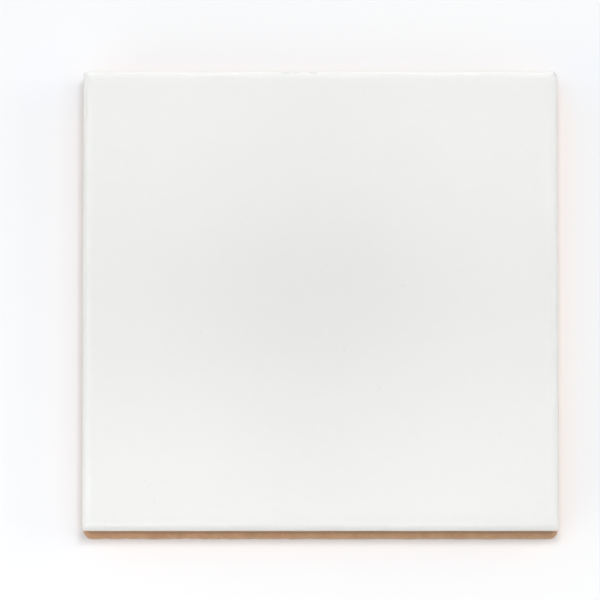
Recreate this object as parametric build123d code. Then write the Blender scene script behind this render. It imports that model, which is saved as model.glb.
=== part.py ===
from build123d import *
from math import floor
import os

# A square wall tile, pressed from clay, glazed on its face and rim and fired as one piece.
# The frame stands at the middle of the back: +Z points out of the glazed face, X and Y run along the sides.

# Driving dimensions of the outside, in millimetres
face_side = 100.0  # across the glazed lip, where the tile is widest
thickness = 9.5  # from the bedding plane to the glazed face
cushion_run = 2.0  # how far in from the lip the face starts to roll over
cushion_drop = 1.2  # how far the face drops before the roll meets the lip
lip_land = 0.5  # upright band of glaze below the roll
lip_overhang = 0.2  # how far the glaze stands out over the bare clay
draft_run = 0.15  # how far the bare side leans in on its way down to the back
lip_corner = 0.8  # corner radius of the glazed lip, seen from above
body_corner = 1.8  # corner radius of the bare clay, seen from above
back_arris = 0.4  # rounding where the bare side meets the back

# Driving dimensions of the keyed back, in millimetres and degrees
key_pitch = 11.5  # from the middle of one recess to the next
key_land = 2.2  # width of the land left between two recesses
key_depth = 0.7  # how deep the adhesive can key in
key_draft = 30.0  # lean of the recess walls, so that the press lets go of them
key_border = 4.0  # least width of the land around the recessed field

# Sizes that follow from them
half_side = face_side / 2
cushion_level = thickness - cushion_drop
lip_level = cushion_level - lip_land
body_top = half_side - lip_overhang
body_foot = body_top - draft_run
key_side = key_pitch - key_land
key_field = 2 * (body_foot - back_arris - key_border)
key_pairs = floor((key_field + key_land) / (2 * key_pitch))
keys_per_side = 2 * key_pairs


def tile_section():
    """The tile cut across its middle: flat back, leaning bare side, glazed lip, rolled edge and flat face."""
    side = Polyline(
        (0, 0),
        (body_foot, 0),
        (body_top, lip_level),
        (half_side, lip_level),
        (half_side, cushion_level),
    )
    roll_start = (half_side - cushion_run, thickness)
    roll = TangentArc(roll_start, (half_side, cushion_level), tangent=(1, 0))
    face = Polyline(roll_start, (0, thickness), (0, 0))
    half_section = make_face(side + roll + face)
    return Plane.XZ * (half_section + mirror(half_section, about=Plane.YZ))


def crossed_bars():
    """The same section both ways: two bars of it crossed, which mitres the rolled edge at the corners."""
    bar = extrude(tile_section(), half_side, both=True)
    return bar & Rot(0, 0, 90) * bar


def round_corners(blank):
    """Round the uprights of the bare clay, then those of the glazed lip, then the edge around the back."""
    clay_uprights = blank.edges().filter_by(lambda edge: edge.bounding_box().size.Z > lip_level / 2)
    rounded_clay = fillet(clay_uprights, body_corner)
    lip_uprights = rounded_clay.edges().filter_by(Axis.Z)
    rounded = fillet(lip_uprights, lip_corner)
    back = rounded.faces().sort_by(Axis.Z)[0]
    return fillet(back.outer_wire().edges(), back_arris)


def back_keys():
    """Shallow recesses in rows over the back, an even number each way, so that lands cross at the middle."""
    recess = Rectangle(key_side, key_side)
    places = GridLocations(key_pitch, key_pitch, keys_per_side, keys_per_side)
    return extrude(Sketch() + [place * recess for place in places], key_depth, taper=key_draft)


wall_tile = round_corners(crossed_bars()) - back_keys()

os.makedirs("parts", exist_ok=True)
export_step(wall_tile, "parts/wall_tile.step")
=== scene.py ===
from math import ceil, cos, radians, sin

import bpy
import numpy as np
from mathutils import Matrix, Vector


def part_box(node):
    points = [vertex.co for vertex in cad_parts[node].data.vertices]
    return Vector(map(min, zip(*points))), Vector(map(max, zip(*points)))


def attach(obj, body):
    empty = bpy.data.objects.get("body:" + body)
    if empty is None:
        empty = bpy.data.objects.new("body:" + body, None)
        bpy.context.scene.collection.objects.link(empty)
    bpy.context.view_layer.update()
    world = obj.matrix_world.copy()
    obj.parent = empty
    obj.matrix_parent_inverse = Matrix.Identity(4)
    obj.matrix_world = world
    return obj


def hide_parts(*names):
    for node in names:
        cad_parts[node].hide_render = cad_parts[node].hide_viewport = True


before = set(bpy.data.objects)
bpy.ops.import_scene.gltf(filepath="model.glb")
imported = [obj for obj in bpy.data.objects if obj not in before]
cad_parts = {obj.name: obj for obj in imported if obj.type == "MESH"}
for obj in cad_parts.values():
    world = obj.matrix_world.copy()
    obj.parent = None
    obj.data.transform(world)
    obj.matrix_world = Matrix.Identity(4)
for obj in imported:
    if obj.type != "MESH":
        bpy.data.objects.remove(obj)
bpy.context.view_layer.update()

# A white glazed wall tile of tan clay, lying on its keyed back. Lengths are in millimetres, in the frame
# of the solids: the origin is at the middle of the back, and +Z points out of the glaze.
MM = 0.001
tile_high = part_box("wall_tile")[1]
HALF = tile_high.x / MM
FACE = tile_high.z / MM

# The rolled rim, from the flat of the face out and down to the widest line of the glaze
ROLL_RUN = 2.0  # how far in from the widest line the roll starts
ROLL_END = radians(62)  # how far the roll turns before the lip's smaller round takes over
LIP_ROUND = 0.5
ROLL_STEPS = 11
LIP_STEPS = 4
CORE = HALF - ROLL_RUN  # half the side of the flat; each outline below is this square and a reach beyond it

# The bead that the glaze ends in, and the bare clay below it
BEAD_ROUND = 0.2
BEAD_FOOT = 7.8
BEAD_STEPS = 5
BEAD_EASE = 0.5  # share of the lip's wander that is gone at the bead's foot
BEAD_PULL = 2.0  # how far below the bead the clay follows its foot up and down
BODY_REACH = 1.85
FOOT_REACH = 1.78
SHADOW_GAP = 0.06  # first step down the clay, short so that the bead ends crisply
BODY_STEPS = 15
ARRIS = 0.4
ARRIS_STEPS = 5

# How thin the glaze has run on the lip's widest line, as a share, and where along the rim it starts to thin
LIP_THIN = 0.95
LIP_START = 0.5

# How square a corner is, seen from above: 2 gives a round one, a larger value a sharper one
GLAZE_CORNER = 9.0
CLAY_CORNER = 2.0

# The keyed back
KEY_PITCH = 11.5
KEY_SIDE = 9.3
KEY_DEPTH = 0.7
KEY_WALL = 0.55
KEYS = 8
WALL_LINES = (0.0, 0.33, 0.67, 1.0)
LINE_SPACING = 0.95

# Unevenness of glaze and clay: wave length and height
WAVE_COUNT = 24  # waves in each sum
WAVE_SPREAD = (0.7, 1.4)  # their shortest and longest, as shares of the wave length
GLAZE_SWELL = (26.0, 0.012)  # slow hollows where the glaze pooled
GLAZE_PEEL = (5.0, 0.0025)  # the faint orange peel of a sprayed glaze
LIP_WANDER = (17.0, 0.05)  # the lip's line, seen from above
BEAD_WANDER = (8.0, 0.07)  # how far the glaze ran down
CLAY_SWELL = (6.0, 0.03)
CLAY_GRIT = (1.3, 0.022)
CRUMBLE = (3.2, 0.12)  # bits lost from the lower edge
CRUMBLE_START = 0.9  # how high the wave stands where a bit starts to be lost
CRUMBLE_TOP = 1.2  # bits are lost only below this level

# Small nicks in the glazed lip: place along X and Y, width and depth
NICKS = (
    (-7.4, HALF, 0.9, 0.14),
    (-5.2, HALF, 0.8, 0.12),
    (-1.4, HALF, 0.7, 0.22),
    (HALF - 0.3, HALF - 0.5, 0.5, 0.24),
)
NICK_BARE = 0.14  # depth at which no glaze is left


# Shapes

def waves(points, length, seed):
    """Unevenness of about one: cosines of near wave lengths, of random direction and phase, summed."""
    draw = np.random.default_rng(seed)
    ways = draw.normal(size=(WAVE_COUNT, points.shape[-1]))
    ways /= np.linalg.norm(ways, axis=1, keepdims=True)
    lengths = length * draw.uniform(*WAVE_SPREAD, WAVE_COUNT)
    turns = points @ (ways / lengths[:, None]).T + draw.uniform(0, 1, WAVE_COUNT)
    return np.cos(2 * np.pi * turns).sum(axis=-1) * np.sqrt(2 / WAVE_COUNT)


def smooth_step(values):
    """From 0 to 1 with level ends: three squares less two cubes of the value, held between 0 and 1."""
    held = np.clip(values, 0, 1)
    return held * held * (3 - 2 * held)


def squared_ray(beyond, corner):
    """Which way a point stands off the core: its steps beyond the core, divided by the root of the sum of
    their powers."""
    size = (np.abs(beyond) ** corner).sum(axis=-1, keepdims=True) ** (1 / corner)
    return beyond / np.where(size == 0, 1, size)


def grid_lines(rim_steps):
    """Places of the grid's lines across the tile, the same both ways. In the core they are millimetres,
    with lines on the walls of the back's recesses. Beyond it, the rim's steps share out one unit."""
    centres = (np.arange(KEYS // 2) + 0.5) * KEY_PITCH
    wall = np.array(WALL_LINES) * KEY_WALL
    inner_walls = centres[:, None] - KEY_SIDE / 2 + wall
    outer_walls = centres[:, None] + KEY_SIDE / 2 - wall
    marks = np.sort(np.concatenate([[0, CORE], inner_walls.ravel(), outer_walls.ravel()]))
    spans = [np.linspace(a, b, ceil((b - a) / LINE_SPACING) + 1)[1:] for a, b in zip(marks, marks[1:])]
    half = np.concatenate(spans + [CORE + np.arange(1, rim_steps + 1) / rim_steps])
    return np.concatenate([-half[::-1], [0], half])


def square_net(rim_steps):
    """The grid that face and back share: each point's place in the core and its steps beyond it, the
    grid's numbers, and the walk round its edge, anticlockwise seen from above."""
    lines = grid_lines(rim_steps)
    grid = np.stack(np.meshgrid(lines, lines, indexing="ij"), axis=-1).reshape(-1, 2)
    core = np.clip(grid, -CORE, CORE)
    numbers = np.arange(len(grid)).reshape(len(lines), len(lines))
    edge = np.concatenate([numbers[:-1, 0], numbers[-1, :-1], numbers[:0:-1, -1], numbers[0, :0:-1]])
    return core, grid - core, numbers, edge


def nick_depth(place):
    """How much glaze is missing: each nick's depth times a bell curve of the distance to its middle."""
    depth = np.zeros(place.shape[:-1])
    for x, y, width, deep in NICKS:
        distance = np.linalg.norm(place[..., :2] - (x, y), axis=-1)
        depth += deep * np.exp(-(distance / width) ** 2)
    return depth


def lip_inset(place):
    """How far the lip's line stands back from its full reach: a wave that stays within it, and nicks."""
    length, height = LIP_WANDER
    return height * (1 + np.tanh(waves(place, length, seed=3))) / 2 + nick_depth(place)


def rim_profile():
    """Reach beyond the core and drop below the face along the rim: the roll's arc, then the lip's."""
    radius = (ROLL_RUN - LIP_ROUND * (1 - sin(ROLL_END))) / sin(ROLL_END)
    roll = np.linspace(0, ROLL_END, ROLL_STEPS)
    lip = np.linspace(ROLL_END, np.pi / 2, LIP_STEPS)[1:]
    lip_reach = radius * sin(ROLL_END) + LIP_ROUND * (np.sin(lip) - sin(ROLL_END))
    lip_drop = radius * (1 - cos(ROLL_END)) + LIP_ROUND * (cos(ROLL_END) - np.cos(lip))
    return np.append(radius * np.sin(roll), lip_reach), np.append(radius * (1 - np.cos(roll)), lip_drop)


def glazed_face(core, beyond, rim):
    """The face over the grid: the core, and the rim's reach along the ray off it. The level is the face
    less the rim's drop and the glaze's slow hollows and peel. Also returns how thin the glaze has run at
    each point, and how much of it is chipped off."""
    reach, drop = rim
    share = np.abs(beyond).max(axis=-1)
    steps = np.linspace(0, 1, len(reach))
    full = core + np.interp(share, steps, reach)[:, None] * squared_ray(beyond, GLAZE_CORNER)
    flat = full - (share * lip_inset(full))[:, None] * squared_ray(beyond, GLAZE_CORNER)
    uneven = (GLAZE_SWELL, GLAZE_PEEL)
    hollow = sum(height * (1 + np.tanh(waves(full, length, seed=5))) for length, height in uneven)
    level = FACE - np.interp(share, steps, drop) - hollow * (1 - share)
    thin = LIP_THIN * smooth_step((share - LIP_START) / (1 - LIP_START))
    chip = np.clip(nick_depth(full) / NICK_BARE, 0, 1) * share
    return np.column_stack([flat, level]), thin, chip


def recess_depth(place):
    """How deep the back is pressed in: a smooth step at each recess's wall, multiplied both ways."""
    last = (KEYS - 1) / 2 * KEY_PITCH
    nearest = np.clip((np.floor(place / KEY_PITCH) + 0.5) * KEY_PITCH, -last, last)
    inside = KEY_SIDE / 2 - np.abs(place - nearest)
    return KEY_DEPTH * smooth_step(inside / KEY_WALL).prod(axis=-1)


def keyed_back(core, beyond):
    """The back over the same grid: flat lands round pressed recesses, with grit that stands inwards."""
    share = np.abs(beyond).max(axis=-1, keepdims=True)
    flat = core + (FOOT_REACH - ARRIS) * share * squared_ray(beyond, CLAY_CORNER)
    grit = CLAY_GRIT[1] * (1 + np.tanh(waves(flat, CLAY_GRIT[0], seed=7))) * (1 - share[:, 0])
    return np.column_stack([flat, recess_depth(flat) + grit])


def side_rings(core, beyond):
    """Rings round the tile from the widest line of the glaze to the back: the bead's quarter round, the
    clay's leaning side, then the arris's quarter round. Each is the core and a reach along the ray off
    it, moved in by the lip's line or by grit, and the bead's foot runs up and down. Also returns how thin
    the glaze is on each ring."""
    bead = np.linspace(0, np.pi / 2, BEAD_STEPS)
    body = np.append(BEAD_FOOT - SHADOW_GAP, np.linspace(BEAD_FOOT, ARRIS, BODY_STEPS)[1:])
    arris = np.linspace(0, np.pi / 2, ARRIS_STEPS)[1:-1]
    body_reach = BODY_REACH + (FOOT_REACH - BODY_REACH) * (BEAD_FOOT - body) / (BEAD_FOOT - ARRIS)
    reach = np.concatenate([
        ROLL_RUN - BEAD_ROUND * (1 - np.cos(bead)),
        body_reach,
        FOOT_REACH - ARRIS * (1 - np.cos(arris)),
    ])[:, None]
    level = np.concatenate([
        BEAD_FOOT + BEAD_ROUND * (1 - np.sin(bead)),
        body,
        ARRIS * (1 - np.sin(arris)),
    ])[:, None]
    glazed = np.arange(len(reach)) < BEAD_STEPS
    ray = np.where(
        (np.arange(len(reach)) < BEAD_STEPS - 1)[:, None, None],
        squared_ray(beyond, GLAZE_CORNER),
        squared_ray(beyond, CLAY_CORNER),
    )
    flat = core + reach[..., None] * ray
    place = np.dstack([flat, np.broadcast_to(level, flat.shape[:2])])

    bead_thin = LIP_THIN + (1 - LIP_THIN) * np.sin(bead)
    thin = np.append(bead_thin, np.zeros(len(reach) - BEAD_STEPS))[:, None]
    swell = CLAY_SWELL[1] * waves(place, CLAY_SWELL[0], seed=11)
    grit = CLAY_GRIT[1] * waves(place, CLAY_GRIT[0], seed=13)
    crumbs = smooth_step(waves(place, CRUMBLE[0], seed=17) / CRUMBLE_START - 1)
    lost = crumbs * smooth_step(CRUMBLE_TOP - level)
    fall = np.append(np.sin(bead), np.zeros(len(reach) - BEAD_STEPS))[:, None]
    bead_inset = lip_inset(place) * (1 - BEAD_EASE * fall)
    inset = np.where(glazed[:, None], bead_inset, swell + grit + CRUMBLE[1] * lost)
    run = BEAD_WANDER[1] * waves(flat, BEAD_WANDER[0], seed=19)
    follow = np.where(glazed[:, None], fall, smooth_step((level - BEAD_FOOT + BEAD_PULL) / BEAD_PULL))
    lowered = level + run * follow
    moved = flat - inset[..., None] * ray
    return np.dstack([moved, lowered]), np.broadcast_to(thin, lowered.shape)


def grid_faces(numbers):
    """Four-sided faces between the neighbours of a grid of point numbers, facing up where the first index
    runs along X and the second along Y."""
    corners = [numbers[:-1, :-1], numbers[1:, :-1], numbers[1:, 1:], numbers[:-1, 1:]]
    return np.stack(corners, axis=-1).reshape(-1, 4)


def tile_skin():
    """The whole tile as one closed skin: the face's grid, the rings down its side and the back's grid,
    which share their points where they meet. Returns the points, how thin and how chipped the glaze is at
    each, the faces, and which of them are clay."""
    rim = rim_profile()
    core, beyond, numbers, edge = square_net(len(rim[0]) - 1)
    face, face_thin, face_chip = glazed_face(core, beyond, rim)
    rings, ring_thin = side_rings(core[edge], beyond[edge])
    back = keyed_back(core, beyond)

    ring_count = len(rings)
    ring_numbers = len(face) + np.arange(ring_count * len(edge)).reshape(ring_count, len(edge))
    back_numbers = len(face) + rings[..., 0].size + numbers
    walk = np.vstack([edge, ring_numbers, back_numbers.ravel()[edge]])
    closed_walk = np.column_stack([walk, walk[:, 0]])
    parts = [grid_faces(numbers), grid_faces(closed_walk), grid_faces(back_numbers.T)]
    glazed_count = len(parts[0]) + BEAD_STEPS * len(edge)

    points = np.concatenate([face, rings.reshape(-1, 3), back])
    thin = np.concatenate([face_thin, ring_thin.ravel(), np.zeros(len(back))])
    chip = np.append(face_chip, np.zeros(len(points) - len(face)))
    faces = np.concatenate(parts)
    return points, thin, chip, faces, np.arange(len(faces)) >= glazed_count


def new_piece(name, points, faces, materials, choice):
    """A mesh object at the origin, smooth all over, with one material chosen for each face."""
    mesh = bpy.data.meshes.new(name)
    mesh.from_pydata((points * MM).tolist(), [], faces.tolist())
    for material in materials:
        mesh.materials.append(material)
    mesh.polygons.foreach_set("material_index", choice.astype(np.int32))
    mesh.polygons.foreach_set("use_smooth", np.ones(len(faces), dtype=bool))
    mesh.update()
    piece = bpy.data.objects.new(name, mesh)
    bpy.context.scene.collection.objects.link(piece)
    return piece


# Materials

def linear(hex_colour):
    """An sRGB hex colour as linear red, green, blue and alpha."""
    channels = [int(hex_colour[place:place + 2], 16) / 255 for place in (1, 3, 5)]
    return [c / 12.92 if c <= 0.04045 else ((c + 0.055) / 1.055) ** 2.4 for c in channels] + [1.0]


def per_metre(millimetres):
    """A texture's scale for features of this size."""
    return 1 / (millimetres * MM)


def node(tree, kind, settings=None, inputs=None):
    """Add a node, set its properties, and set each input, by name or number, or link it to an output."""
    made = tree.nodes.new(kind)
    for name, value in (settings or {}).items():
        setattr(made, name, value)
    for name, value in (inputs or {}).items():
        if isinstance(value, bpy.types.NodeSocket):
            tree.links.new(value, made.inputs[name])
        else:
            made.inputs[name].default_value = value
    return made


def new_material(name):
    """An empty node material and its tree."""
    material = bpy.data.materials.new(name)
    material.use_nodes = True
    material.node_tree.nodes.clear()
    return material, material.node_tree


# A colour mix node has its factor and its two colours at these inputs, and the mixed colour at this output
FACTOR, COLOUR_A, COLOUR_B, MIXED = 0, 6, 7, 2


def white_gloss_glaze():
    """Opaque white glaze, sprayed on and fired: near white with a breath of green-grey, and a soft gloss.
    It lies level, with a faint peel and a few pinholes. It thins to cream over the clay where it ends,
    and a nick is painted grey, as painted shade in its pit."""
    material, tree = new_material("white_gloss_glaze")
    place = node(tree, "ShaderNodeTexCoord").outputs["Object"]
    mottle = node(tree, "ShaderNodeTexNoise", None, {
        "Vector": place, "Scale": per_metre(1.5), "Detail": 3.0,
    })
    body = node(tree, "ShaderNodeMix", {"data_type": "RGBA"}, {
        FACTOR: mottle.outputs["Fac"], COLOUR_A: linear("#E3E4E3"), COLOUR_B: linear("#E5E6E5"),
    })
    cells = node(tree, "ShaderNodeTexVoronoi", None, {"Vector": place, "Scale": per_metre(7)})
    pinhole = node(tree, "ShaderNodeMapRange", {"interpolation_type": "SMOOTHSTEP"}, {
        "Value": cells.outputs["Distance"], "From Min": 0.015, "From Max": 0.035,
        "To Min": 0.3, "To Max": 0.0,
    })
    pricked = node(tree, "ShaderNodeMix", {"data_type": "RGBA"}, {
        FACTOR: pinhole.outputs[0], COLOUR_A: body.outputs[MIXED], COLOUR_B: linear("#B9B4AA"),
    })
    thin = node(tree, "ShaderNodeAttribute", {"attribute_name": "glaze_thin"})
    fringe = node(tree, "ShaderNodeMapRange", None, {
        "Value": thin.outputs["Fac"], "From Min": 0.2, "From Max": 1.0, "To Min": 0.0, "To Max": 0.7,
    })
    fringed = node(tree, "ShaderNodeMix", {"data_type": "RGBA"}, {
        FACTOR: fringe.outputs[0], COLOUR_A: pricked.outputs[MIXED], COLOUR_B: linear("#DCCBB5"),
    })
    chip = node(tree, "ShaderNodeAttribute", {"attribute_name": "glaze_chip"})
    # Painted shade: where the glaze is nicked, the pit is painted a darker grey
    nick_painted_shade = node(tree, "ShaderNodeMapRange", None, {
        "Value": chip.outputs["Fac"], "From Min": 0.1, "From Max": 0.4, "To Min": 0.0, "To Max": 1.0,
    })
    colour = node(tree, "ShaderNodeMix", {"data_type": "RGBA"}, {
        FACTOR: nick_painted_shade.outputs[0], COLOUR_A: fringed.outputs[MIXED], COLOUR_B: linear("#D4D5D6"),
    })
    peel = node(tree, "ShaderNodeTexNoise", None, {"Vector": place, "Scale": per_metre(2.4), "Detail": 1.0})
    ripple = node(tree, "ShaderNodeBump", None, {
        "Strength": 0.12, "Distance": 0.03 * MM, "Height": peel.outputs["Fac"],
    })
    shader = node(tree, "ShaderNodeBsdfPrincipled", None, {
        "Base Color": colour.outputs[MIXED], "Roughness": 0.27, "IOR": 1.52,
        "Normal": ripple.outputs["Normal"],
    })
    node(tree, "ShaderNodeOutputMaterial", None, {"Surface": shader.outputs[0]})
    return material


def bare_fired_clay():
    """Tan earthenware, pressed dry and fired without glaze: quite matt and gritty, with streaks down the
    side from the press, pale and dark grog, and a redder flush towards one end from the kiln. Painted light
    makes the foot paler, and painted shade darkens the clay under the glaze's lip."""
    material, tree = new_material("bare_fired_clay")
    place = node(tree, "ShaderNodeTexCoord").outputs["Object"]
    axes = node(tree, "ShaderNodeSeparateXYZ", None, {"Vector": place})
    flush = node(tree, "ShaderNodeMapRange", None, {
        "Value": axes.outputs["X"], "From Min": -HALF * MM, "From Max": HALF * MM,
    })
    ground = node(tree, "ShaderNodeMix", {"data_type": "RGBA"}, {
        FACTOR: flush.outputs[0], COLOUR_A: linear("#CF9F76"), COLOUR_B: linear("#C29973"),
    })
    streaked = node(tree, "ShaderNodeMapping", None, {"Vector": place, "Scale": (1, 1, 0.12)})
    streak = node(tree, "ShaderNodeTexNoise", None, {
        "Vector": streaked.outputs[0], "Scale": per_metre(2.6), "Detail": 3.0, "Roughness": 0.6,
    })
    drawn = node(tree, "ShaderNodeMapRange", None, {
        "Value": streak.outputs["Fac"], "From Min": 0.35, "From Max": 0.7, "To Min": 0.0, "To Max": 0.55,
    })
    body = node(tree, "ShaderNodeMix", {"data_type": "RGBA"}, {
        FACTOR: drawn.outputs[0], COLOUR_A: ground.outputs[MIXED], COLOUR_B: linear("#AE7E58"),
    })
    grain = node(tree, "ShaderNodeTexNoise", None, {
        "Vector": place, "Scale": per_metre(0.7), "Detail": 3.0,
    })
    pale = node(tree, "ShaderNodeMapRange", None, {
        "Value": grain.outputs["Fac"], "From Min": 0.56, "From Max": 0.72, "To Min": 0.0, "To Max": 0.45,
    })
    speckled = node(tree, "ShaderNodeMix", {"data_type": "RGBA"}, {
        FACTOR: pale.outputs[0], COLOUR_A: body.outputs[MIXED], COLOUR_B: linear("#DCC2A0"),
    })
    grog = node(tree, "ShaderNodeTexVoronoi", None, {"Vector": place, "Scale": per_metre(1.4)})
    dark = node(tree, "ShaderNodeMapRange", None, {
        "Value": grog.outputs["Distance"], "From Min": 0.08, "From Max": 0.2, "To Min": 0.5, "To Max": 0.0,
    })
    grogged = node(tree, "ShaderNodeMix", {"data_type": "RGBA"}, {
        FACTOR: dark.outputs[0], COLOUR_A: speckled.outputs[MIXED], COLOUR_B: linear("#8A6348"),
    })
    # Painted light: the clay is paler towards the foot, as if lit by light bounced up from the paper
    painted_bounce_light = node(tree, "ShaderNodeMapRange", {"interpolation_type": "SMOOTHSTEP"}, {
        "Value": axes.outputs["Z"], "From Min": 0.2 * MM, "From Max": 3.2 * MM,
        "To Min": 0.4, "To Max": 0.0,
    })
    with_painted_bounce = node(tree, "ShaderNodeMix", {"data_type": "RGBA"}, {
        FACTOR: painted_bounce_light.outputs[0], COLOUR_A: grogged.outputs[MIXED], COLOUR_B: linear("#D9C3A8"),
    })
    # Painted shade: the clay darkens towards its top, under the glaze's lip, where the lip's shadow falls
    painted_lip_shade = node(tree, "ShaderNodeMapRange", {"interpolation_type": "SMOOTHSTEP"}, {
        "Value": axes.outputs["Z"], "From Min": (BEAD_FOOT - 4.4) * MM, "From Max": (BEAD_FOOT - 0.4) * MM,
        "To Min": 0.0, "To Max": 0.75,
    })
    colour = node(tree, "ShaderNodeMix", {"data_type": "RGBA"}, {
        FACTOR: painted_lip_shade.outputs[0], COLOUR_A: with_painted_bounce.outputs[MIXED], COLOUR_B: linear("#826148"),
    })
    pits = node(tree, "ShaderNodeMath", {"operation": "SUBTRACT"}, {
        0: grain.outputs["Fac"], 1: dark.outputs[0],
    })
    grit = node(tree, "ShaderNodeBump", None, {
        "Strength": 0.5, "Distance": 0.12 * MM, "Height": pits.outputs[0],
    })
    shader = node(tree, "ShaderNodeBsdfPrincipled", None, {
        "Base Color": colour.outputs[MIXED], "Roughness": 0.92, "Normal": grit.outputs["Normal"],
    })
    node(tree, "ShaderNodeOutputMaterial", None, {"Surface": shader.outputs[0]})
    return material


def white_paper():
    """Smooth white paper: matt and even."""
    material, tree = new_material("white_paper")
    shader = node(tree, "ShaderNodeBsdfPrincipled", None, {
        "Base Color": linear("#F6F6F7"), "Roughness": 0.8,
    })
    node(tree, "ShaderNodeOutputMaterial", None, {"Surface": shader.outputs[0]})
    return material


# The tile

points, thin, chip, faces, bare = tile_skin()
tile = new_piece("glazed_tile", points, faces, [white_gloss_glaze(), bare_fired_clay()], bare)
for name, values in (("glaze_thin", thin), ("glaze_chip", chip)):
    attribute = tile.data.attributes.new(name, "FLOAT", "POINT")
    attribute.data.foreach_set("value", values.astype(np.float32))
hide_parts("wall_tile")
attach(tile, "root")

# Floor and light, in metres

FLOOR_HALF = 5.0
floor_corners = np.array([[-1, -1, 0], [1, -1, 0], [1, 1, 0], [-1, 1, 0]]) * FLOOR_HALF / MM
floor = new_piece("floor", floor_corners, np.array([[0, 1, 2, 3]]), [white_paper()], np.zeros(1))


def lit_only(name, piece):
    """A lamp linked to this collection falls on the piece alone, as when boards keep it off the rest."""
    collection = bpy.data.collections.new(name)
    collection.objects.link(piece)
    return collection


def soft_box(name, lit, place, size, power, tint="#FFFFFF", shows="matt", shaded=True):
    """A soft lamp facing the tile, with its place given as lean off the upright and bearing clockwise
    from the far side, both in degrees, and distance. It falls on the lit collection, or on everything
    where that is None. It shows as matt light, as gloss, or as both. Unless it is shaded, the tile throws
    no shadow in it."""
    lean, bearing, distance = radians(place[0]), radians(place[1]), place[2]
    lamp = bpy.data.lights.new(name, "AREA")
    lamp.shape = "RECTANGLE"
    lamp.size, lamp.size_y = size
    lamp.energy = power
    lamp.color = linear(tint)[:3]
    box = bpy.data.objects.new(name, lamp)
    box.location = distance * Vector((sin(lean) * sin(bearing), sin(lean) * cos(bearing), cos(lean)))
    box.rotation_euler = (-box.location).to_track_quat("-Z", "Y").to_euler()
    box.visible_camera = False
    box.visible_diffuse = shows != "gloss"
    box.visible_glossy = shows != "matt"
    box.light_linking.receiver_collection = lit
    if not shaded:
        box.light_linking.blocker_collection = lit
    bpy.context.scene.collection.objects.link(box)


# The lamps along the edges: how far out and how high they hang over the tile, and over the paper beside it,
# their length and width, and the grid's spread
TILE_BEAM = (0.047, 0.25)
PAPER_BEAM = (0.0525, 0.04)
BEAM_SIZE = (0.13, 0.012)
BEAM_SPREAD = radians(26)


def edge_beam(name, lit, hung, side, power, tint="#FFFFFF"):
    """A narrow lamp with a grid, hung level along one edge of the tile to light the band below it."""
    lamp = bpy.data.lights.new(name, "AREA")
    lamp.shape = "RECTANGLE"
    lamp.size, lamp.size_y = BEAM_SIZE if side[0] == 0 else BEAM_SIZE[::-1]
    lamp.spread = BEAM_SPREAD
    lamp.energy = power
    lamp.color = linear(tint)[:3]
    beam = bpy.data.objects.new(name, lamp)
    beam.location = (side[0] * hung[0], side[1] * hung[0], hung[1])
    beam.visible_camera = False
    beam.visible_glossy = False
    beam.light_linking.receiver_collection = lit
    bpy.context.scene.collection.objects.link(beam)


SMALL_BOX = (0.2, 0.2)
MIDDLE_BOX = (0.3, 0.3)
WIDE_BOX = (0.5, 0.3)
PALE_BLUE = "#66B0FF"

# The lamps on the paper. The beams offset the warm glow that the clay throws beside the far and left edges
on_paper = lit_only("on_paper", floor)
soft_box("paper_overhead", on_paper, (2, 90, 1), SMALL_BOX, 2.9, "#F2F9FF")
soft_box("paper_fill", on_paper, (0, 0, 1), SMALL_BOX, 1.9, "#DAEEFF", shaded=False)
soft_box("paper_far_right", on_paper, (8, 45, 1), SMALL_BOX, 0.68, "#FFF6E4")
soft_box("paper_left", on_paper, (16, 270, 1), MIDDLE_BOX, 0.7, "#BEEBFF")
soft_box("paper_right", on_paper, (22, 90, 1), MIDDLE_BOX, 0.88, "#FFECDE")
soft_box("paper_low_near_left", on_paper, (65, 225, 0.55), WIDE_BOX, 0.58, "#FFEFE7")
soft_box("paper_low_left", on_paper, (65, 270, 0.55), WIDE_BOX, 0.38, "#FFDDB2")
soft_box("paper_low_right", on_paper, (65, 90, 0.55), WIDE_BOX, 0.7, "#FFEAD3")
edge_beam("paper_beam_far", on_paper, PAPER_BEAM, (0, 1), 0.00016, PALE_BLUE)
edge_beam("paper_beam_left", on_paper, PAPER_BEAM, (-1, 0), 0.00011, PALE_BLUE)

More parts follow.
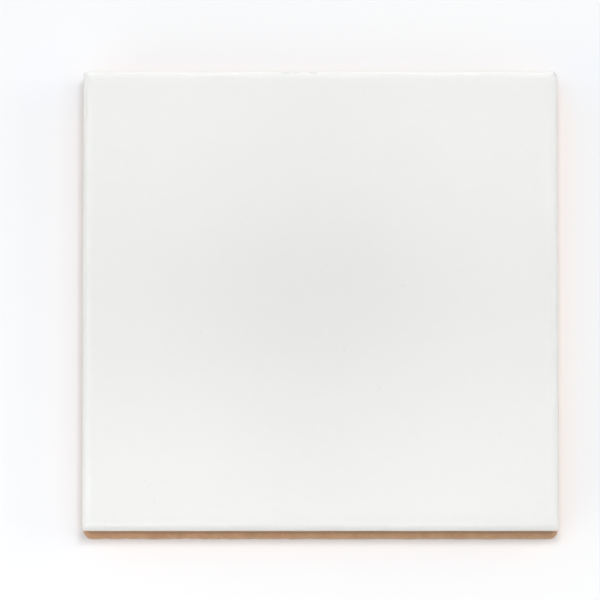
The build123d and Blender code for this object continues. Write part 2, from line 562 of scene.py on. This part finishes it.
# The lamps on the tile, and one small lamp at its near left corner that falls on the paper too
on_tile = lit_only("on_tile", tile)
soft_box("tile_overhead", on_tile, (0, 0, 1), SMALL_BOX, 1.65)
soft_box("tile_near", on_tile, (35, 195, 0.6), MIDDLE_BOX, 0.81, "#FFFFF7")
soft_box("tile_low_far", on_tile, (80, 0, 0.5), (0.5, 0.15), 1.2)
soft_box("tile_left", on_tile, (45, 270, 0.55), (0.4, 0.3), 0.9, shows="both")
soft_box("tile_right", on_tile, (65, 90, 0.55), WIDE_BOX, 0.86, shows="both")
soft_box("shine_near", on_tile, (35, 180, 0.5), (0.5, 0.2), 0.44, shows="gloss")
soft_box("corner_near_left", None, (60, 225, 0.12), (0.06, 0.06), 0.0017)
edge_beam("beam_near", on_tile, TILE_BEAM, (0, -1), 0.0035)
edge_beam("beam_far", on_tile, TILE_BEAM, (0, 1), 0.0031)
edge_beam("beam_left", on_tile, TILE_BEAM, (-1, 0), 0.0014)
edge_beam("beam_right", on_tile, TILE_BEAM, (1, 0), 0.0023)

# A faint even dome fills the shadows
world = bpy.data.worlds.new("studio")
world.use_nodes = True
world.node_tree.nodes.clear()
sky = node(world.node_tree, "ShaderNodeBackground", None, {"Color": linear("#FFFFFF"), "Strength": 0.3})
node(world.node_tree, "ShaderNodeOutputWorld", None, {"Surface": sky.outputs[0]})
bpy.context.scene.world = world
bpy.context.scene.view_settings.view_transform = "Standard"

# The camera looks from the near side, nearly straight down, through a long lens, as the tile's sides run
# parallel in the photo
VIEW_TILT = radians(15)
LENS = 1000.0
SENSOR = 36.0
PHOTO_SIDE = 600
TILE_WIDTH_PX = 475
TILE_MIDDLE_PX = (320.5, 304.7)
camera_data = bpy.data.cameras.new("camera")
camera_data.lens = LENS
camera_data.sensor_width = SENSOR
camera_data.clip_start = 0.1
camera_data.clip_end = 20.0
camera = bpy.data.objects.new("camera", camera_data)
bpy.context.scene.collection.objects.link(camera)
bpy.context.scene.camera = camera

frame_width = 2 * HALF * MM * PHOTO_SIDE / TILE_WIDTH_PX
metres_per_px = frame_width / PHOTO_SIDE
right = Vector((1, 0, 0))
towards = Vector((0, -sin(VIEW_TILT), cos(VIEW_TILT)))
up = towards.cross(right)
aim = Vector((0, 0, FACE * MM / 2))
aim -= right * (TILE_MIDDLE_PX[0] - PHOTO_SIDE / 2) * metres_per_px
aim += up * (TILE_MIDDLE_PX[1] - PHOTO_SIDE / 2) * metres_per_px
camera.location = aim + towards * (frame_width * LENS / SENSOR)
camera.rotation_euler = (VIEW_TILT, 0, 0)
